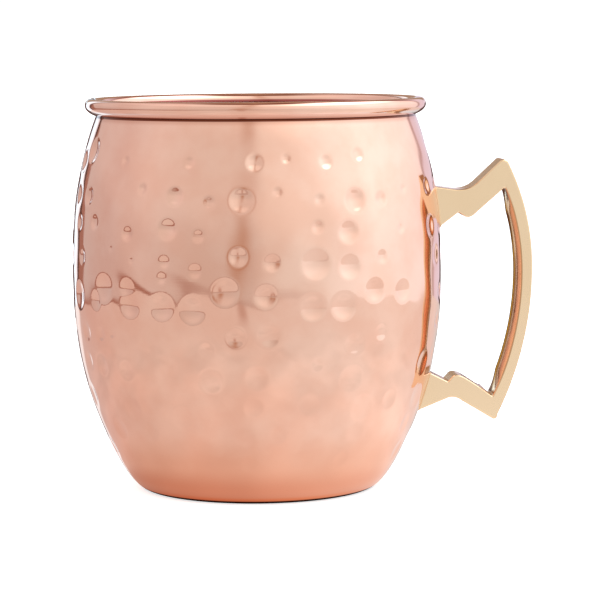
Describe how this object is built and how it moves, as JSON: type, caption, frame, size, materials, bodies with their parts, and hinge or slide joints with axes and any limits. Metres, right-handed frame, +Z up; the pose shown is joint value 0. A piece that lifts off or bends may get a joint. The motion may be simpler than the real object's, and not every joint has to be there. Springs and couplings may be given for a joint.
{
  "type": "copper mug",
  "caption": "Barrel-shaped hammered copper mug with a rolled rim, a flat base and an angular cast brass handle brazed on at two feet.",
  "frame": {"origin": "centre of the flat base, on the surface that the mug stands on", "axes": "+Z up along the mug's axis, +X from the axis towards the handle, +Y across the handle"},
  "size_m": [0.1179, 0.0944, 0.1],
  "materials": {
    "copper": "polished, hand hammered copper",
    "cast_brass": "polished cast brass",
    "braze": "satin filler metal"
  },
  "bodies": {
    "root": {"mug_body": "copper", "handle": "cast_brass", "upper_foot_braze": "braze", "lower_foot_braze": "braze"}
  },
  "joints": []
}
